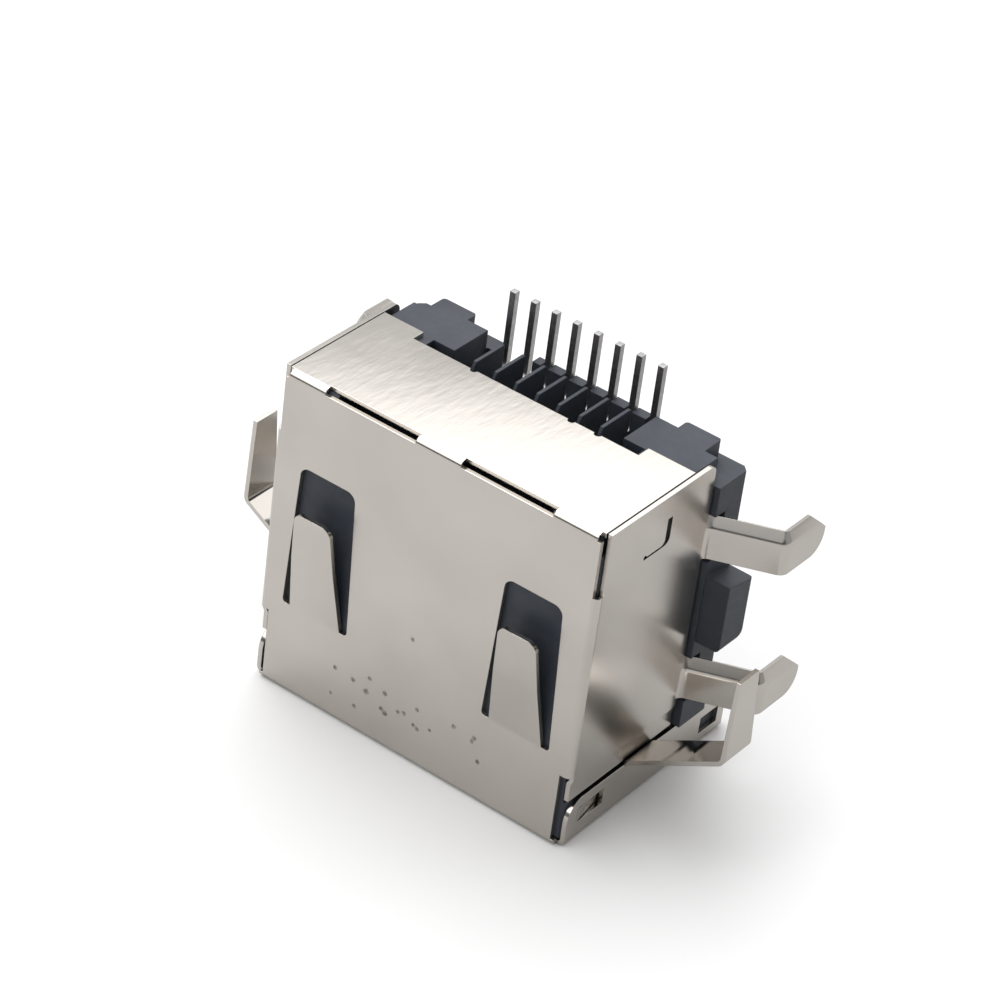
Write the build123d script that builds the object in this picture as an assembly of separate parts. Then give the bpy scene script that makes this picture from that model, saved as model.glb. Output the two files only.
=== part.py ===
from build123d import *
import os

# Shielded eight-contact modular jack, standing on its mouth as it rests on a table.
# Origin: centre of the plug opening, in the mouth plane.
# +Z runs from the mouth to the rear, +Y towards the circuit board, X across the jack.
# All sizes are in millimetres.

# Overlap of shapes that are joined, and how far a cut reaches past what it cuts
over = 0.10
past = 1.00

# Plug cavity
cavity_w = 11.84
cavity_h = 6.80
cavity_depth = 12.0
roof = 1.20
latch_w = 6.22
latch_step = 0.95
latch_stem_w = 3.40
latch_stem_depth = 1.90
latch_ledge = 1.90
latch_end_gap = 1.50

# Shield: one folded sheet
sheet = 0.20
shell_w = 15.50
back_l = 2.70
bend_r = 0.30
corner_gap = 0.06
wall_depth = 7.00
wall_corner = 0.35
relief_front = 3.43
relief_rear = 2.80
relief_y = 0.25
relief_rear_y = 0.34
relief_x = 0.24
corner_notch = 0.16
lap = 0.30
joggle = 0.10
joggle_z = 3.20
joggle_run = 0.15
flap_h = 2.05
flap_gap = 0.15
flap_len = 10.85
flap_corner = 0.95
frame_h = 11.20
lip_h = 1.50
mouth_margin = 0.18
mouth_r = 0.30
mouth_inset = 0.04

# Rear cover of the shield, with the long slots at its fold
cover_end = 5.95
cover_mid = 5.30
cover_left = -5.55
cover_right = 5.30
fold_slots_x = ((-5.57, -1.18), (0.97, 5.30))
fold_slot_y = 0.36
fold_slot_z = 0.26
nick_places = (-2.55, 2.15, 3.40)
nick_r = 0.16

# Spring fingers of the shield's top wall
finger_x = 4.98
finger_root_z = 4.20
finger_tip_z = 9.25
finger_lift = 0.80
finger_lap = 0.30
finger_bow = (0.55, 0.62)
finger_bend_r = 1.20
finger_root_w = 2.56
finger_tip_w = 1.74
finger_tip_r = 0.45
slit_w = 0.36
window_top_z = 10.80
window_top_w = 2.68
window_r = 0.42

# Spring wings folded out of the mouth flaps
wing_reach = 4.26
wing_y = 3.90
wing_w = 1.80
wing_bend_z = 4.46
wing_top_z = 8.22
wing_bend_r = 0.35
wing_lap = 0.50
wing_taper_front = 0.19
wing_taper_back = 0.37

# Ground legs
leg_front_z = 3.62
leg_rear_gap = 4.35
leg_web = 1.35
leg_h = 1.84
leg_lean = 0.24
leg_crease_r = 0.40
leg_reach = 2.90
leg_rise = 1.40
leg_len = 10.95
leg_tip_r = 0.85
leg_tip_run = 0.85
leg_tip_drop = 0.75
leg_in = 0.20
leg_root = 0.12
leg_root_r = 0.48
leg_bend_r = 0.36

# Lances and holes of the shield's sides
lance_y = (2.76, 4.40)
lance_rear_gap = (2.32, 1.08)
lance_r = 0.34
lance_slit = (0.32, 0.08)
lance_end_r = 0.09
tag_y = (1.00, 2.60)
tag_z = (0.87, 1.60)
tag_slit = 0.06
tag_angle = 9.0
pocket = 0.45
hole_y = (9.15, 10.40)
hole_z = (0.58, 1.38)

# Housing
fit_gap = 0.03
edge_break = 0.12
skin = 0.30
seat_h = 9.08
shoulder_drop = 1.05
flange_out = 0.25
flange_y = 7.10
flange_chamfer = 0.25
ear_reach = 1.35
ear_y = 7.20
ear_gap = (0.94, 0.83)
ear_end = 8.90
ear_draft = 0.30
ear_round = 0.22
ear_corner = 0.42
leg_notch_gap = 0.14
block_in = 5.10
block_out = 6.75
block_y = 8.80
block_round = 0.15
edge_out = 7.36
edge_y = 7.65

# Contact carrier
tongue_z = 2.90
carrier_y = 8.30
comb_front = 6.07
comb_end = 7.85
comb_height = 0.70
rib_t = 0.15
rib_slope = 0.35
slot_block_x = 4.08
slot_block_y = 8.20
lip_x = 3.80
guide_l = 2.40
guide_y = 3.60
guide_t = 0.40
recess_front = 1.75
tail_wall_y = 8.60
tail_wall_x = -2.10
tail_wall_drop = 0.86
tail_notch = 0.36

# Contacts
pitch = 1.02
count = 8
wire_w = 0.27
wire_t = 0.28
wire_bend = 0.42
run_y = 0.80
hairpin_z = 1.80
hairpin_l = 0.65
hairpin_drop = 1.12
spring_end_y = 3.28
spring_end_gap = 1.40
tail_wall_t = 0.60
tail_reach = 1.55

# Places that follow from the sizes above
top = -(cavity_h / 2 + roof)
half = shell_w / 2
strip_half = half - sheet - corner_gap
inner_half = half - sheet - fit_gap
skin_y = sheet + fit_gap + skin
shell_l = cavity_depth + back_l
rear_z = shell_l - sheet
shoulder_z = shell_l - shoulder_drop
comb_low_z = rear_z - comb_height
tail_floor = cavity_depth + tail_wall_t
tail_z = tail_floor + wire_t / 2
leg_z = (leg_front_z, shell_l - leg_rear_gap)
leg_slope = (leg_rise - leg_root) / leg_reach
leg_low_y = wall_depth + leg_root + (flange_out + sheet / 2) * leg_slope + sheet / 2 + leg_lean
ear_z = (leg_front_z + leg_h + ear_gap[0], leg_z[1] - ear_gap[1])
lance_z = (shell_l - lance_rear_gap[0], shell_l - lance_rear_gap[1])


def block(x0, x1, y0, y1, z0, z1):
    """A box between two corners, with y counted from the shield's top face."""
    size = Box(abs(x1 - x0), abs(y1 - y0), abs(z1 - z0))
    return Pos((x0 + x1) / 2, top + (y0 + y1) / 2, (z0 + z1) / 2) * size


def folded(points, radius, thickness=sheet):
    """The edge-on outline of a folded sheet whose middle line runs through points.
    The radius is that of the middle line at every bend."""
    points = [Vector(*p) for p in points]
    runs = [(b - a).normalized() for a, b in zip(points, points[1:])]
    left, right, turns = [], [], []
    for i, point in enumerate(points):
        before = runs[max(i - 1, 0)]
        after = runs[min(i, len(runs) - 1)]
        normal = Vector(-before.Y - after.Y, before.X + after.X).normalized()
        reach = thickness / 2 / normal.dot(Vector(-before.Y, before.X))
        left.append(point + normal * reach)
        right.append(point - normal * reach)
        turns.append(before.X * after.Y - before.Y * after.X)
    face = make_face(Polyline(*left, *reversed(right), close=True))
    for i in range(1, len(points) - 1):
        inner = -1 if turns[i] > 0 else 1
        for corner, side in ((left[i], 1), (right[i], -1)):
            vertex = face.vertices().sort_by_distance(corner)[0]
            face = fillet(vertex, radius + side * inner * thickness / 2)
    return face


def side_view(x=0):
    """Drawing plane seen from +X: drawn in (depth from the top face, height)."""
    return Plane((x, top, 0), x_dir=(0, 1, 0), z_dir=(1, 0, 0))


def top_view(depth=0):
    """Drawing plane seen on the top face: drawn in (across, height)."""
    return Plane((0, top + depth, 0), x_dir=(1, 0, 0), z_dir=(0, -1, 0))


def across(face, width):
    """Extrude a side-view outline evenly to both sides."""
    return extrude(side_view() * face, width / 2, both=True)


def side_plate(outline, x0, x1):
    """Extrude a side-view outline between two places along X."""
    return extrude(side_view(x0) * make_face(outline), x1 - x0)


def both_sides(solid):
    """A right-hand piece together with its mirror image on the left."""
    return [solid, mirror(solid, Plane.YZ)]


def fold_strips():
    """The folded sheet before its windows, springs and legs."""
    mid = sheet / 2
    r = bend_r - mid
    long_strip = across(
        folded(
            [
                (cover_end, shell_l - mid),
                (mid, shell_l - mid),
                (mid, mid),
                (frame_h - mid, mid),
                (frame_h - mid, lip_h),
            ],
            r,
        ),
        2 * strip_half,
    )
    inset = half - bend_r - mouth_inset
    for piece in both_sides(block(inset, half, -sheet, frame_h + sheet, -sheet, bend_r)):
        long_strip -= piece
    wrap = folded(
        [(mid - half, wall_depth), (mid - half, mid), (half - mid, mid), (half - mid, wall_depth)],
        r,
    )
    wrap_strip = Pos(0, top, relief_front) * extrude(wrap, shell_l - relief_rear - relief_front)
    rear_wall = block(
        half - sheet, half, relief_rear_y, wall_depth, shell_l - relief_rear - lap, shell_l
    )
    rear_corner = rear_wall.edges().filter_by(Axis.X).group_by(Axis.Z)[-1].sort_by(Axis.Y)[-1]
    rear_wall = fillet(rear_corner, wall_corner)
    low = flap_h + flap_gap
    jog = make_face(
        Polyline(
            (half, relief_front),
            (half, joggle_z),
            (half - joggle, joggle_z - joggle_run),
            (half - joggle, low),
            (half - joggle - sheet, low),
            (half - joggle - sheet, joggle_z - joggle_run),
            (half - sheet, joggle_z),
            (half - sheet, relief_front),
            close=True,
        )
    )
    front_wall = extrude(top_view(relief_y) * jog, -(wall_depth - relief_y))
    shell = long_strip + mouth_flaps() + wrap_strip
    for piece in both_sides(rear_wall) + both_sides(front_wall):
        shell += piece
    return shell


def mouth_flaps():
    """Strip across the mouth with its two flaps, their lanced tabs, holes and spring wings."""
    mid = sheet / 2
    outline = folded(
        [(mid - half, flap_h), (mid - half, mid), (half - mid, mid), (half - mid, flap_h)],
        bend_r - mid,
    )
    strip = extrude(top_view(relief_y) * outline, -(flap_len - relief_y))
    corners = strip.edges().filter_by(Axis.X).group_by(Axis.Z)[-1].group_by(Axis.Y)[0]
    strip = fillet(corners, flap_corner)
    window, tab = lance(tag_y, tag_z, tag_angle)
    hole = block(half - 2 * sheet, half + sheet, *hole_y, *hole_z)
    for piece in both_sides(window) + both_sides(hole):
        strip -= piece
    for piece in both_sides(tab) + both_sides(wing()):
        strip += piece
    return strip


def mouth_opening():
    """Opening of the mouth plate, a little larger than the housing's."""
    m = mouth_margin
    main = block(
        -cavity_w / 2 - m, cavity_w / 2 + m, roof - m, roof + cavity_h + m, -sheet, 2 * sheet
    )
    bottom = roof + cavity_h + latch_stem_depth + m
    latch = block(-latch_w / 2 - m, latch_w / 2 + m, roof, bottom, -sheet, 2 * sheet)
    return fillet((main + latch).edges().filter_by(Axis.Z), mouth_r)


def finger_outline(root_w, tip_w, root_z, tip_z, radius):
    """A tapered tongue, seen square on, with a rounded free end."""
    flat = make_face(
        Polyline(
            (-root_w / 2, root_z),
            (root_w / 2, root_z),
            (tip_w / 2, tip_z),
            (-tip_w / 2, tip_z),
            close=True,
        )
    )
    return fillet(flat.vertices().sort_by(Axis.Y)[-2:], radius)


def finger_window():
    """Cut-out round one finger: a slit down each side and a gap beyond its tip."""
    outline = finger_outline(
        finger_root_w + 2 * slit_w, window_top_w, finger_root_z, window_top_z, window_r
    )
    outline = fillet(outline.vertices().sort_by(Axis.Y)[:2], slit_w / 2)
    return extrude(top_view(-sheet) * outline, -3 * sheet)


def finger():
    """One tongue, rooted at the mouth end and lifted outwards towards its tip."""
    mid = sheet / 2
    rise = finger_tip_z - finger_root_z
    path = side_view() * FilletPolyline(
        (mid, finger_root_z - 2 * finger_lap),
        (mid, finger_root_z),
        (mid - finger_bow[1] * finger_lift, finger_root_z + finger_bow[0] * rise),
        (mid - finger_lift, finger_root_z + rise),
        radius=finger_bend_r,
    )
    start = Plane(path @ 0, x_dir=(1, 0, 0), z_dir=path % 0)
    strip = sweep(start * Rectangle(2 * finger_root_w, sheet), path)
    outline = finger_outline(
        finger_root_w, finger_tip_w, finger_root_z - finger_lap, finger_tip_z, finger_tip_r
    )
    return strip & extrude(top_view(2 * sheet) * outline, finger_lift + 4 * sheet)


def wing():
    """Right-hand spring wing: up from the flap, out at a slant, then parallel to the side."""
    mid = sheet / 2
    outline = folded(
        [
            (half - mid, flap_h - wing_lap),
            (half - mid, flap_h),
            (half + wing_reach - mid, wing_bend_z),
            (half + wing_reach - mid, wing_top_z),
        ],
        wing_bend_r,
    )
    strip = extrude(top_view(wing_y) * outline, -wing_w)
    back = wing_y + wing_w
    blade = Polyline(
        (wing_y - past, flap_h - past),
        (back + past, flap_h - past),
        (back + past, wing_bend_z),
        (back, wing_bend_z),
        (back - wing_taper_back, wing_top_z + over),
        (wing_y + wing_taper_front, wing_top_z + over),
        (wing_y, wing_bend_z),
        (wing_y - past, wing_bend_z),
        close=True,
    )
    return strip & side_plate(blade, half - past, half + wing_reach + past)


def leg(z0):
    """Right-hand ground leg: an angle section that slants out of the side wall's edge,
    then turns towards the board and ends in a rounded tip."""
    mid = sheet / 2
    path = Pos(0, top, 0) * FilletPolyline(
        (half - mid, wall_depth - leg_in),
        (half - mid, wall_depth + leg_root),
        (half + leg_reach - mid, wall_depth + leg_rise),
        (half + leg_reach - mid, leg_len),
        radius=(leg_root_r, leg_bend_r),
    )
    section = folded([(z0, 0), (z0 + leg_web, 0), (z0 + leg_h, -leg_lean)], leg_crease_r)
    start = Plane(path @ 0, x_dir=(0, 0, 1), z_dir=path % 0)
    angle = sweep((start * section).face(), path)
    run = leg_tip_run * (1 + over)
    drop = leg_tip_drop * (1 + over)
    end_y = leg_len + leg_tip_run * over
    end_z = z0 + leg_h + leg_tip_drop * over
    slope = Polyline(
        (leg_len - run, end_z), (end_y, z0 + leg_h - drop), (end_y, end_z), close=True
    )
    angle -= side_plate(slope, half, half + leg_reach + past)
    tip = angle.edges().filter_by(Axis.X).group_by(Axis.Z)[0].sort_by(Axis.Y)[-1]
    return fillet(tip, leg_tip_r)


def lance(y_range, z_range, angle):
    """Window of a lanced tab in the right side, and the tab bent inwards from its hinge."""
    y0, y1 = y_range
    z0, z1 = z_range
    window = block(half - 2 * sheet, half + sheet, y0, y1, z0, z1)
    flat = block(half - sheet, half, y0 - over, y1 - tag_slit, z0 + tag_slit, z1 - tag_slit)
    hinge = Axis((half, top + y0, 0), (0, 0, 1))
    return window, flat.rotate(hinge, angle)


def lance_cut():
    """Bent slit that frees the corner of a pressed-in tab in the right side."""
    outer = block(half - 2 * sheet, half + sheet, *lance_y, *lance_z)
    turn = outer.edges().filter_by(Axis.X).group_by(Axis.Z)[0].sort_by(Axis.Y)[-1]
    outer = fillet(turn, lance_r)
    tab = block(
        half - 3 * sheet,
        half + 2 * sheet,
        lance_y[0] - over,
        lance_y[1] - lance_slit[0],
        lance_z[0] + lance_slit[1],
        lance_z[1] + over,
    )
    turn = tab.edges().filter_by(Axis.X).group_by(Axis.Z)[0].sort_by(Axis.Y)[-1]
    slit = outer - fillet(turn, lance_r - lance_slit[1])
    end = Pos(half, top + lance_y[0] + lance_end_r, lance_z[0] + lance_slit[1])
    return slit + end * Rot(0, 90, 0) * Cylinder(lance_end_r, 4 * sheet)


def make_shield():
    shell = fold_strips() - mouth_opening()

    # long slots along the fold between the top wall and the rear cover
    for x0, x1 in fold_slots_x:
        shell -= block(x0, x1, -sheet, fold_slot_y, shell_l - fold_slot_z, shell_l + sheet)

    # relief slots of the top wall beside the flaps, and notches at the rear fold's ends
    slot = block(strip_half - relief_x, half, -sheet, relief_y, bend_r, relief_front)
    notch = block(strip_half - corner_notch, half, -sheet, bend_r, rear_z - over, shell_l + sheet)
    for piece in both_sides(slot) + both_sides(notch):
        shell -= piece

    # back edge of the rear cover: set back in the middle, with three small nicks
    back = (cover_mid, cover_end + past)
    shell -= block(cover_left, cover_right, *back, rear_z - sheet, shell_l + past)
    for x in nick_places:
        nick = Cylinder(nick_r, 3 * sheet)
        shell -= Pos(x, top + cover_mid, shell_l - sheet / 2) * nick

    # bent slit near the rear of each side
    for piece in both_sides(lance_cut()):
        shell -= piece

    # spring fingers in their windows
    for x in (-finger_x, finger_x):
        shell -= Pos(x, 0, 0) * finger_window()
        shell += Pos(x, 0, 0) * finger()

    # ground legs
    for z0 in leg_z:
        for piece in both_sides(leg(z0)):
            shell += piece
    return shell


def wire_path():
    """Middle line of a contact in (depth, height): spring, hairpin, top run, tail and foot."""
    foot_y = seat_h - wire_t / 2
    back_y = run_y + hairpin_drop
    return FilletPolyline(
        (spring_end_y, cavity_depth - spring_end_gap),
        (back_y, hairpin_z + hairpin_l),
        (run_y + hairpin_drop / 2, hairpin_z),
        (run_y, hairpin_z + hairpin_l),
        (run_y, tail_z),
        (foot_y, tail_z),
        (foot_y, shell_l + tail_reach),
        radius=wire_bend,
    )


def make_contact(index):
    """One formed contact: the same path for all, set out at the pitch."""
    x = (index - (count - 1) / 2) * pitch
    path = side_view(x) * wire_path()
    section = Plane(path @ 0, x_dir=(1, 0, 0), z_dir=path % 0) * Rectangle(wire_w, wire_t)
    return sweep(section, path, transition=Transition.ROUND)


def make_carrier(contacts):
    """Rear insert: a tongue that holds the contacts over the cavity, the cavity's rear
    wall, the guide comb for the springs and the outer comb for the tails."""
    side = slot_block_x - fit_gap
    y0 = skin_y + fit_gap
    body = block(-side, side, y0, roof, tongue_z, comb_low_z)
    body += block(-side, side, y0, carrier_y, cavity_depth, tail_floor)

    # thin ribs between the tails
    rib = Polyline(
        (roof - over, tail_floor - over),
        (comb_end, tail_floor - over),
        (comb_end, rear_z),
        (comb_front, rear_z),
        (comb_front - rib_slope, comb_low_z),
        (roof - over, comb_low_z),
        close=True,
    )
    for k in range(1, count):
        x = (k - count / 2) * pitch
        body += side_plate(rib, x - rib_t / 2, x + rib_t / 2)

    # guide comb between the springs' free ends
    guide_z = cavity_depth - guide_l
    for k in range(count + 1):
        x = (k - count / 2) * pitch
        x0 = max(x - guide_t / 2, -side)
        x1 = min(x + guide_t / 2, side)
        body += block(x0, x1, roof, guide_y, guide_z, cavity_depth)
    for contact in contacts:
        body -= contact
    return body


def make_housing():
    """Moulded body: mouth frame, plug cavity, latch slot, flanges, ears and rear blocks."""
    y0 = sheet + fit_gap
    body = block(-inner_half, inner_half, y0, seat_h, sheet, shoulder_z)
    body += block(
        -inner_half, inner_half, y0, frame_h - sheet - fit_gap, sheet, flap_h - fit_gap
    )
    face_edges = body.edges().group_by(Axis.Z)[0]
    body = chamfer(face_edges + body.edges().filter_by(Axis.Z).group_by(Axis.Y)[0], edge_break)

    # lower strip of each side, drawn in where the side wall is joggled
    low = flap_h + flap_gap
    jog_z = joggle_z + fit_gap
    strip = block(inner_half - joggle, half, 0, flange_y, low - flap_gap, jog_z)
    for piece in both_sides(strip):
        body -= piece

    # flanges behind the side walls' edges, and ears
    flange = block(inner_half - over, half + flange_out, flange_y, seat_h, low, shoulder_z)
    rear_corner = flange.edges().filter_by(Axis.Z).sort_by(Axis.X)[-1]
    flange = chamfer(rear_corner, flange_chamfer)
    ear = Polyline(
        (ear_y, ear_z[0]),
        (ear_end, ear_z[0]),
        (ear_end, ear_z[1] - ear_draft),
        (ear_y, ear_z[1]),
        close=True,
    )
    ear = side_plate(ear, half - sheet, half + ear_reach)
    ear = fillet(ear.edges().filter_by(Axis.X).group_by(Axis.Z)[0].sort_by(Axis.Y)[-1], ear_corner)
    ear = fillet(ear.edges().filter_by(Axis.Y).group_by(Axis.X)[-1], ear_round)
    for piece in both_sides(flange) + both_sides(ear):
        body += piece

    # rear blocks on both sides of the carrier
    rear = block(block_in, block_out, y0, block_y, cavity_depth, rear_z)
    rear = fillet(rear.edges().filter_by(Axis.Z).group_by(Axis.Y)[-1], block_round)
    rear += block(slot_block_x, block_in + over, comb_front, slot_block_y, cavity_depth, rear_z)
    rear += block(block_out - over, edge_out, y0, edge_y, cavity_depth, rear_z)
    rear = chamfer(rear.edges().filter_by(Axis.X).group_by(Axis.Y)[0].group_by(Axis.Z)[-1], edge_break)
    for piece in both_sides(rear):
        body += piece

    # plug cavity and the stepped slot for the plug's latch
    bottom = roof + cavity_h
    body -= block(-cavity_w / 2, cavity_w / 2, roof, bottom, 0, cavity_depth)
    body -= block(-latch_w / 2, latch_w / 2, bottom - past, bottom + latch_step, 0, latch_ledge)
    body -= block(
        -latch_stem_w / 2, latch_stem_w / 2, bottom - past, bottom + latch_stem_depth, 0, latch_ledge
    )
    latch_end = cavity_depth - latch_end_gap
    body -= block(-latch_w / 2, latch_w / 2, bottom - past, frame_h, latch_ledge, latch_end)

    # room for the carrier, its tongue and the hairpins of the contacts
    side = slot_block_x
    body -= block(-side, side, skin_y, carrier_y, cavity_depth, rear_z + past)
    body -= block(-side, side, skin_y, roof + over, tongue_z - fit_gap, cavity_depth)
    body -= block(-side, side, skin_y, roof + over, recess_front, tongue_z)

    # rest for the tails, and the wall behind them with a notch for each
    wall_top = shell_l - tail_wall_drop
    body += block(tail_wall_x, side + over, tail_wall_y, seat_h, cavity_depth, wall_top)
    body -= block(-lip_x, side, carrier_y - over, tail_wall_y, tail_floor, rear_z)
    body -= block(-lip_x, tail_wall_x, carrier_y - over, seat_h + past, tail_floor, rear_z)
    wide = tail_notch / 2
    for index in range(count):
        x = (index - (count - 1) / 2) * pitch
        body -= block(x - wide, x + wide, tail_wall_y - over, seat_h + past, tail_floor, rear_z)

    # notches where the legs pass, and pockets behind the flaps' lanced tabs
    notch_x = half - sheet - leg_lean - leg_notch_gap
    for z0 in leg_z:
        top_of_leg = z0 + leg_h + leg_notch_gap
        notch_y = (wall_depth - leg_in - leg_notch_gap, leg_low_y + leg_notch_gap)
        notch = block(notch_x, half + past, *notch_y, z0 - leg_notch_gap, top_of_leg)
        for piece in both_sides(notch):
            body -= piece
    hollow = block(inner_half - pocket, half, tag_y[0] - over, tag_y[1] + over, *tag_z)
    for piece in both_sides(hollow):
        body -= piece
    return body


contacts = [make_contact(i) for i in range(count)]
pieces = {
    "shield": make_shield(),
    "housing": make_housing(),
    "contact_carrier": make_carrier(contacts),
}
for i, contact in enumerate(contacts):
    pieces["contact_%d" % (i + 1)] = contact

os.makedirs("parts", exist_ok=True)
for name, piece in pieces.items():
    export_step(piece, "parts/%s.step" % name)
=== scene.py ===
import math
import bmesh
import bpy
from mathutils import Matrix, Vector

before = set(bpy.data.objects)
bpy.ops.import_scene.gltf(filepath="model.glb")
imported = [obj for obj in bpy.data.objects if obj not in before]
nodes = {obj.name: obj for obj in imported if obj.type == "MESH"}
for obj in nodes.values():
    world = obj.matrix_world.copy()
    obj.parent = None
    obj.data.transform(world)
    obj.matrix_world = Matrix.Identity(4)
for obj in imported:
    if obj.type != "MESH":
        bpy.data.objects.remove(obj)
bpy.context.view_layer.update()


# Contacts: eight formed flat wires, stamped from thin copper alloy strip.
# They are gold-plated where they spring back into the cavity and tin-plated at the tails.
# Each one runs from its hairpin near the mouth to a solder tail at the rear.
MM = 0.001  # sizes are written in millimetres, and the scene is in metres
contact_count = 8
contact_roughness = 0.36
contact_edge = 0.04
edge_samples = 6
grain_scale = 5200.0
grain_detail = 4.0
plating_tones = (0.35, 0.70)
tin_dark = (0.35, 0.347, 0.342, 1)
tin_light = (0.48, 0.476, 0.471, 1)
gold_dark = (0.83, 0.56, 0.20, 1)
gold_light = (0.93, 0.68, 0.30, 1)
gold_end_z = 11.6
tin_start_z = 12.0
sharpest_bend = math.radians(32)
flat_within = math.radians(0.5)
weld_reach = 0.0005

soft_bends = bpy.data.node_groups.new("soft_bends", "GeometryNodeTree")
soft_bends.interface.new_socket("Mesh", in_out="INPUT", socket_type="NodeSocketGeometry")
soft_bends.interface.new_socket("Mesh", in_out="OUTPUT", socket_type="NodeSocketGeometry")
mesh_in = soft_bends.nodes.new("NodeGroupInput")
mesh_out = soft_bends.nodes.new("NodeGroupOutput")
fold = soft_bends.nodes.new("GeometryNodeInputMeshEdgeAngle")
sharp = soft_bends.nodes.new("FunctionNodeCompare")
sharp.inputs["B"].default_value = sharpest_bend
shade = soft_bends.nodes.new("GeometryNodeSetMeshNormal")
soft_bends.links.new(mesh_in.outputs[0], shade.inputs["Mesh"])
soft_bends.links.new(fold.outputs["Unsigned Angle"], sharp.inputs["A"])
soft_bends.links.new(sharp.outputs["Result"], shade.inputs["Edge Sharpness"])
soft_bends.links.new(shade.outputs["Mesh"], mesh_out.inputs[0])


def smooth_bends(node):
    """Shades a node's bends smoothly, keeps its flat faces flat and its corners sharp."""
    weld = node.modifiers.new("weld", "WELD")
    weld.merge_threshold = weld_reach * MM
    flat = node.modifiers.new("flat", "DECIMATE")
    flat.decimate_type = "DISSOLVE"
    flat.angle_limit = flat_within
    smooth = node.modifiers.new("smooth", "NODES")
    smooth.node_group = soft_bends
    level = node.modifiers.new("level", "WEIGHTED_NORMAL")
    level.keep_sharp = True


def finish_node(node, material):
    """Shades a node's bends and puts its finish on all of it."""
    smooth_bends(node)
    for slot in node.material_slots:
        slot.material = material


def worn_edge(tree, radius):
    """Rounds the corners of whatever wears this material, in its shading."""
    edge = tree.nodes.new("ShaderNodeBevel")
    edge.samples = edge_samples
    edge.inputs["Radius"].default_value = radius * MM
    return edge.outputs["Normal"]


def noise(tree, place, scale, detail):
    """An uneven pattern over the piece, from 0 to 1."""
    pattern = tree.nodes.new("ShaderNodeTexNoise")
    pattern.inputs["Scale"].default_value = scale
    pattern.inputs["Detail"].default_value = detail
    tree.links.new(place, pattern.inputs["Vector"])
    return pattern.outputs["Fac"]


def two_tones(tree, pattern, dark, light, spread=(0.0, 1.0)):
    """A colour that goes from dark to light as the pattern passes through the spread."""
    tones = tree.nodes.new("ShaderNodeValToRGB")
    for stop, position, colour in zip(tones.color_ramp.elements, spread, (dark, light)):
        stop.position = position
        stop.color = colour
    tree.links.new(pattern, tones.inputs["Fac"])
    return tones.outputs["Color"]


def fade(tree, value, start, end, low=0.0, high=1.0, curve="LINEAR"):
    """Goes from low to high as the value goes from start to end, and stays there."""
    change = tree.nodes.new("ShaderNodeMapRange")
    change.interpolation_type = curve
    change.inputs["From Min"].default_value = start
    change.inputs["From Max"].default_value = end
    change.inputs["To Min"].default_value = low
    change.inputs["To Max"].default_value = high
    tree.links.new(value, change.inputs["Value"])
    return change.outputs["Result"]


def colour_mix(tree, share, first, second, blend="MIX"):
    """One colour over another: each of the three is a plain value or comes from a node."""
    mixed = tree.nodes.new("ShaderNodeMix")
    mixed.data_type = "RGBA"
    mixed.blend_type = blend
    for name, value in (("Factor", share), ("A", first), ("B", second)):
        if isinstance(value, bpy.types.NodeSocket):
            tree.links.new(value, mixed.inputs[name])
        else:
            mixed.inputs[name].default_value = value
    return mixed.outputs["Result"]


def place_axes(tree, place):
    """The three axes of a place or direction, X, Y and Z."""
    axes = tree.nodes.new("ShaderNodeSeparateXYZ")
    tree.links.new(place, axes.inputs["Vector"])
    return axes.outputs


plated = bpy.data.materials.new("plated_contact")
plated.use_nodes = True
tree = plated.node_tree
shader = tree.nodes["Principled BSDF"]
shader.inputs["Metallic"].default_value = 1.0
shader.inputs["Roughness"].default_value = contact_roughness
where = tree.nodes.new("ShaderNodeTexCoord")
grain = noise(tree, where.outputs["Object"], grain_scale, grain_detail)
tin = two_tones(tree, grain, tin_dark, tin_light, plating_tones)
gold = two_tones(tree, grain, gold_dark, gold_light, plating_tones)
height = place_axes(tree, where.outputs["Object"])["Z"]
tinned = fade(tree, height, gold_end_z * MM, tin_start_z * MM)
tree.links.new(colour_mix(tree, tinned, gold, tin), shader.inputs["Base Color"])
tree.links.new(worn_edge(tree, contact_edge), shader.inputs["Normal"])
for number in range(1, contact_count + 1):
    finish_node(nodes["contact_%d" % number], plated)


# Contact carrier and housing: two mouldings in black glass-filled plastic, the carrier pushed
# into the housing from the rear. The skin is matt, a little bluish and faintly pitted.
plastic_specular = 0.45
plastic_dark = (0.030, 0.037, 0.050, 1)
plastic_light = (0.050, 0.059, 0.076, 1)
plastic_tones = (0.30, 0.75)
plastic_roughness = (0.42, 0.60)
plastic_edge = 0.06
pit_scale = 3800.0
pit_detail = 6.0
pit_depth = 0.02
pit_strength = 0.25
plastic_cloud_scale = 420.0
plastic_cloud_detail = 3.0

plastic = bpy.data.materials.new("black_plastic")
plastic.use_nodes = True
tree = plastic.node_tree
shader = tree.nodes["Principled BSDF"]
shader.inputs["Specular IOR Level"].default_value = plastic_specular
where = tree.nodes.new("ShaderNodeTexCoord")
pits = noise(tree, where.outputs["Object"], pit_scale, pit_detail)
cloud = noise(tree, where.outputs["Object"], plastic_cloud_scale, plastic_cloud_detail)
tone = two_tones(tree, cloud, plastic_dark, plastic_light, plastic_tones)
tree.links.new(tone, shader.inputs["Base Color"])
tree.links.new(fade(tree, pits, 0.0, 1.0, *plastic_roughness), shader.inputs["Roughness"])
relief = tree.nodes.new("ShaderNodeBump")
relief.inputs["Strength"].default_value = pit_strength
relief.inputs["Distance"].default_value = pit_depth * MM
tree.links.new(pits, relief.inputs["Height"])
tree.links.new(worn_edge(tree, plastic_edge), relief.inputs["Normal"])
tree.links.new(relief.outputs["Normal"], shader.inputs["Normal"])
for name in ("housing", "contact_carrier"):
    finish_node(nodes[name], plastic)


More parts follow.
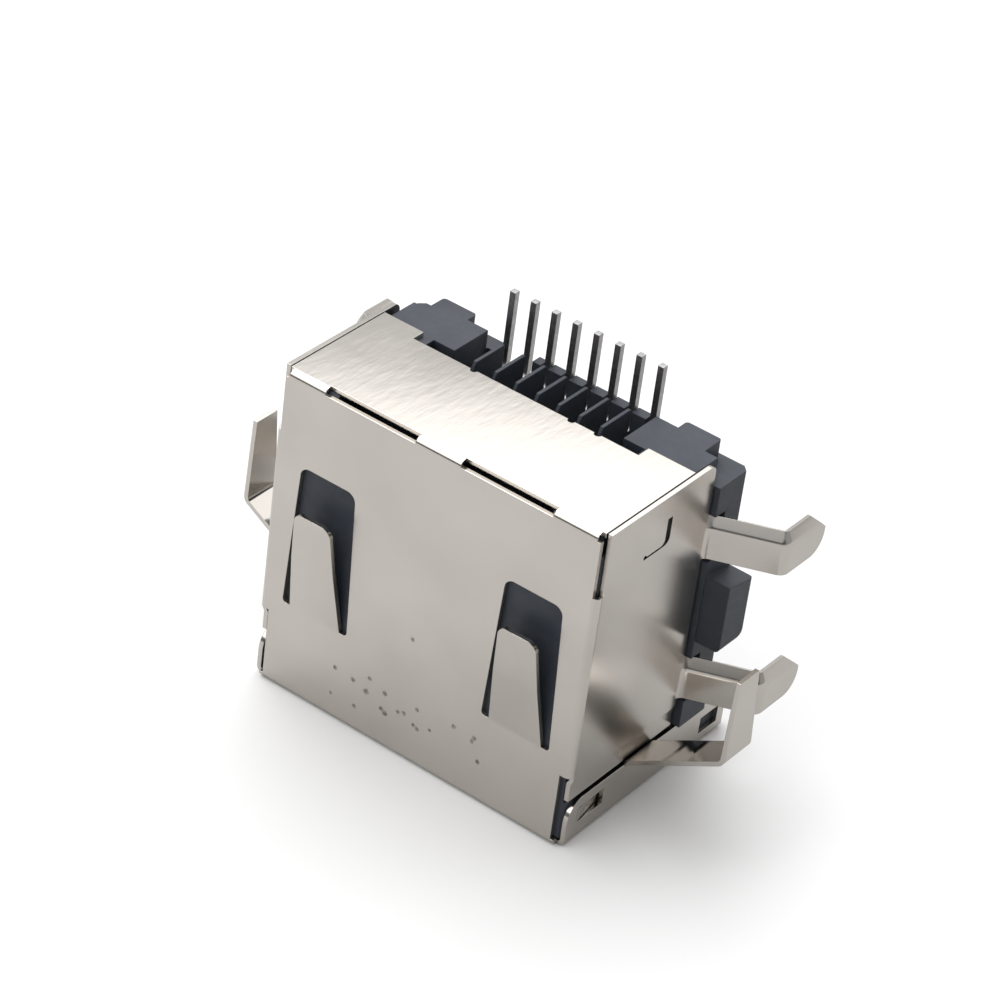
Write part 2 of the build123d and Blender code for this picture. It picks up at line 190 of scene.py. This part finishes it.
# Shield: one sheet of nickel-plated brass, stamped, lanced and folded round the housing.
# The plating is bright on the rear cover and duller on the walls, with fine strokes of rolling.
# A few specks of tarnish sit low on the top wall, and painted shade darkens the colour down in the
# slots and creases.
nickel_dark = (0.62, 0.585, 0.545, 1)
nickel_light = (0.68, 0.645, 0.60, 1)
nickel_tones = (0.30, 0.72)
nickel_cloud_scale = 260.0
nickel_cloud_detail = 4.0
nickel_edge = 0.03

nickel = bpy.data.materials.new("nickel_plate")
nickel.use_nodes = True
tree = nickel.node_tree
shader = tree.nodes["Principled BSDF"]
shader.inputs["Metallic"].default_value = 1.0
where = tree.nodes.new("ShaderNodeTexCoord")
cloud = noise(tree, where.outputs["Object"], nickel_cloud_scale, nickel_cloud_detail)
tone = two_tones(tree, cloud, nickel_dark, nickel_light, nickel_tones)


def calculate(tree, operation, *values):
    """One step of arithmetic on outputs of nodes and plain numbers."""
    step = tree.nodes.new("ShaderNodeMath")
    step.operation = operation
    for socket, value in zip(step.inputs, values):
        if isinstance(value, float):
            socket.default_value = value
        else:
            tree.links.new(value, socket)
    return step.outputs["Value"]


# The walls are duller than the rear cover, from the tools that folded them.
cover_faces = 0.80
wall_faces = 0.30
cover_roughness = 0.04
wall_roughness = 0.15
cloud_roughness = 0.05
upright = calculate(tree, "ABSOLUTE", place_axes(tree, where.outputs["Normal"])["Z"])
wall = fade(tree, upright, cover_faces, wall_faces)
dull = calculate(tree, "MULTIPLY_ADD", wall, wall_roughness, cover_roughness)
gloss = calculate(tree, "MULTIPLY_ADD", cloud, cloud_roughness, dull)

# The strokes of rolling run along the sheet: from mouth to rear on the walls, and on over the
# fold on the rear cover. They smear what the plating mirrors to both sides.
rolling_way = (0.0, 0.02, 1.0)
rolling_smear = 0.7
stroke_stretch = (1.0, 0.28, 0.15)
stroke_scale = 3000.0
stroke_detail = 3.0
stroke_depth = 0.0012
stroke_strength = 1.0
shader.inputs["Anisotropic"].default_value = rolling_smear
grooves = tree.nodes.new("ShaderNodeVectorMath")
grooves.operation = "CROSS_PRODUCT"
grooves.inputs[1].default_value = rolling_way
tree.links.new(where.outputs["Normal"], grooves.inputs[0])
tree.links.new(grooves.outputs["Vector"], shader.inputs["Tangent"])
stroke = tree.nodes.new("ShaderNodeMapping")
stroke.inputs["Scale"].default_value = stroke_stretch
tree.links.new(where.outputs["Object"], stroke.inputs["Vector"])
rolled = noise(tree, stroke.outputs["Vector"], stroke_scale, stroke_detail)
brushed = tree.nodes.new("ShaderNodeBump")
brushed.inputs["Strength"].default_value = stroke_strength
brushed.inputs["Distance"].default_value = stroke_depth * MM
tree.links.new(rolled, brushed.inputs["Height"])
tree.links.new(worn_edge(tree, nickel_edge), brushed.inputs["Normal"])
tree.links.new(brushed.outputs["Normal"], shader.inputs["Normal"])

# A few small brown specks of tarnish sit low on the top wall. Each one's place is across and up
# from the mouth, to a tenth of a millimetre, and then comes its radius.
top_wall_y = -4.60
tarnish_specks = (
    (-3.7, 2.5, 0.12),
    (-2.8, 2.4, 0.13),
    (-2.1, 2.2, 0.16),
    (-1.2, 2.6, 0.14),
    (-2.0, 2.9, 0.12),
    (-3.8, 1.2, 0.09),
    (-2.6, 1.2, 0.12),
    (-1.3, 1.8, 0.13),
    (-1.1, 1.7, 0.15),
    (-0.5, 2.1, 0.11),
    (-0.2, 2.2, 0.12),
    (0.4, 2.7, 0.12),
    (0.3, 1.9, 0.10),
    (0.5, 1.8, 0.12),
    (1.1, 2.1, 0.09),
    (-0.2, 5.8, 0.12),
    (2.2, 2.9, 0.13),
    (3.2, 2.9, 0.12),
    (3.1, 2.7, 0.12),
    (3.5, 1.9, 0.13),
)
speck_rim = 1.4
speck_core = 0.3
speck_grain_scale = 6500.0
speck_grain_detail = 2.0
speck_break = (0.10, 0.55)
speck_cover = 0.85
speck_roughness = 0.25
tarnish_brown = (0.185, 0.14, 0.12, 1)
tarnish = 0.0
for across, up, radius in tarnish_specks:
    distance = tree.nodes.new("ShaderNodeVectorMath")
    distance.operation = "DISTANCE"
    distance.inputs[1].default_value = (across * MM, top_wall_y * MM, up * MM)
    tree.links.new(where.outputs["Object"], distance.inputs[0])
    rim = speck_rim * radius * MM
    core = speck_core * radius * MM
    speck = fade(tree, distance.outputs["Value"], rim, core, curve="SMOOTHSTEP")
    tarnish = calculate(tree, "MAXIMUM", tarnish, speck)
ragged = noise(tree, where.outputs["Object"], speck_grain_scale, speck_grain_detail)
broken = calculate(tree, "MULTIPLY", tarnish, ragged)
cover = fade(tree, broken, *speck_break, high=speck_cover)
stained = colour_mix(tree, cover, tone, tarnish_brown)
dulled = calculate(tree, "MULTIPLY_ADD", cover, speck_roughness, gloss)
tree.links.new(dulled, shader.inputs["Roughness"])

# Painted shade: the colour is darkened wherever the sheet is hemmed in by itself, down in the slots
# and in creases and folds.
slot_depth = 0.30
slot_open = (0.35, 0.75)
darkest_painted_shade = 0.20
crevice_samples = 6
crevice = tree.nodes.new("ShaderNodeAmbientOcclusion")
crevice.samples = crevice_samples
crevice.only_local = True
crevice.inputs["Distance"].default_value = slot_depth * MM
painted_shade_factor = fade(tree, crevice.outputs["AO"], *slot_open, low=darkest_painted_shade)
# The painted shade multiplies the plating's colour.
colour_with_painted_shade = colour_mix(tree, 1.0, stained, painted_shade_factor, blend="MULTIPLY")
tree.links.new(colour_with_painted_shade, shader.inputs["Base Color"])
finish_node(nodes["shield"], nickel)


# Table: a plain white sheet that the jack stands on, mouth down. The camera sees it as white, and it
# keeps the jack's soft shadow. The metal sees it grey, with painted shade making it greyer to the
# right.
sheet_half = 220
sheet_roughness = 0.9
sheet_specular = 0.1
sheet_white = (0.88, 0.88, 0.88, 1)
sheet_grey_left = (0.62, 0.615, 0.61, 1)
sheet_painted_shade_right = (0.54, 0.535, 0.53, 1)
painted_shade_full_x = 15.0

table_mesh = bpy.data.meshes.new("table")
grid = bmesh.new()
bmesh.ops.create_grid(grid, x_segments=1, y_segments=1, size=sheet_half * MM)
grid.to_mesh(table_mesh)
grid.free()
table = bpy.data.objects.new("table", table_mesh)
bpy.context.scene.collection.objects.link(table)
paper = bpy.data.materials.new("table_white")
paper.use_nodes = True
tree = paper.node_tree
shader = tree.nodes["Principled BSDF"]
shader.inputs["Roughness"].default_value = sheet_roughness
shader.inputs["Specular IOR Level"].default_value = sheet_specular
where = tree.nodes.new("ShaderNodeTexCoord")
# Painted shade: the sheet, as the metal mirrors it, grows darker towards the right.
painted_shade_share = fade(tree, place_axes(tree, where.outputs["Object"])["X"], 0.0, painted_shade_full_x * MM)
grey = two_tones(tree, painted_shade_share, sheet_grey_left, sheet_painted_shade_right)
light_path = tree.nodes.new("ShaderNodeLightPath")
seen = light_path.outputs["Is Camera Ray"]
tree.links.new(colour_mix(tree, seen, grey, sheet_white), shader.inputs["Base Color"])
table_mesh.materials.append(paper)


# Studio: a white tent with a soft panel high over the jack, on the left and towards the rear.
# The metal mirrors the tent: bright in a band overhead and behind, dimmer to the right, and dark
# low in front, where the tent is open. The camera sees the tent as plain white.
tent_base = 0.70
right_wall = (0.35, 0.60)
right_wall_drop = -0.32
rear_sky_back = (0.35, 0.55)
rear_sky_height = (0.60, 0.66)
rear_sky_right = (0.14, 0.20)
rear_sky_light = 0.70
opening_height = (0.285, 0.262)
opening_front = (-0.30, -0.60)
opening_drop = -0.78
band_left = (-0.62, -0.56)
band_right = (0.05, -0.10)
band_slope_back = (0.0, 0.35)
band_slope = -0.195
band_height = (0.3465, 0.3585)
band_light = 1.15
plain_white = (1, 1, 1, 1)

world = bpy.data.worlds.new("studio")
bpy.context.scene.world = world
world.use_nodes = True
tree = world.node_tree
tent = tree.nodes["Background"]
heading = tree.nodes.new("ShaderNodeTexCoord")
to_right, to_back, to_top = place_axes(tree, heading.outputs["Generated"])


def part_of_tent(direction, edge):
    """A part of the tent: 0 before its soft edge and 1 past it, along one direction of the room."""
    return fade(tree, direction, *edge, curve="SMOOTHSTEP")


def times_add(first, second, add):
    """One part of the tent times another part or a number, plus a third."""
    return calculate(tree, "MULTIPLY_ADD", first, second, add)


opening = times_add(part_of_tent(to_top, opening_height), part_of_tent(to_back, opening_front), 0.0)
rear_sky = times_add(part_of_tent(to_back, rear_sky_back), part_of_tent(to_top, rear_sky_height), 0.0)
rear_sky = times_add(rear_sky, part_of_tent(to_right, rear_sky_right), 0.0)
tent_level = times_add(part_of_tent(to_right, right_wall), right_wall_drop, tent_base)
tent_level = times_add(rear_sky, rear_sky_light, tent_level)
tent_level = times_add(opening, times_add(tent_level, opening_drop, 0.0), tent_level)
band = times_add(part_of_tent(to_right, band_left), part_of_tent(to_right, band_right), 0.0)
band_lean = times_add(part_of_tent(to_back, band_slope_back), band_slope, to_top)
band = times_add(band, part_of_tent(band_lean, band_height), 0.0)
level = times_add(band, band_light, tent_level)
tree.links.new(level, tent.inputs["Strength"])
tent.inputs["Color"].default_value = plain_white
light_path = tree.nodes.new("ShaderNodeLightPath")
white = tree.nodes.new("ShaderNodeBackground")
white.inputs["Color"].default_value = plain_white
mix = tree.nodes.new("ShaderNodeMixShader")
tree.links.new(light_path.outputs["Is Camera Ray"], mix.inputs["Fac"])
tree.links.new(tent.outputs["Background"], mix.inputs[1])
tree.links.new(white.outputs["Background"], mix.inputs[2])
tree.links.new(mix.outputs["Shader"], tree.nodes["World Output"].inputs["Surface"])

# The soft panel is a square of light, aimed at the middle of the jack's mouth.
panel_side = 380
panel_power = 0.95
panel_place = (-170, 90, 410)
lamp = bpy.data.lights.new("top_panel", "AREA")
lamp.size = panel_side * MM
lamp.energy = panel_power
panel = bpy.data.objects.new("top_panel", lamp)
panel.location = Vector(panel_place) * MM
panel.rotation_euler = (-panel.location).to_track_quat("-Z", "Y").to_euler()
bpy.context.scene.collection.objects.link(panel)


# Camera: stands where the photographer stood, about 16 cm from the jack, and looks down at it.
# Its lens is long, and it is turned a few degrees on its own axis, as the picture is.
film_width = 36.0
focal_length = 140.44
nearest = 0.005
farthest = 10.0
camera_place = (67.78, -103.62, 95.59)
camera_turn = (55.171, -6.372, 37.648)

lens = bpy.data.cameras.new("camera")
lens.sensor_width = film_width
lens.lens = focal_length
lens.clip_start = nearest
lens.clip_end = farthest
camera = bpy.data.objects.new("camera", lens)
camera.location = Vector(camera_place) * MM
camera.rotation_euler = [math.radians(a) for a in camera_turn]
bpy.context.scene.collection.objects.link(camera)
bpy.context.scene.camera = camera
bpy.context.scene.view_settings.view_transform = "Standard"
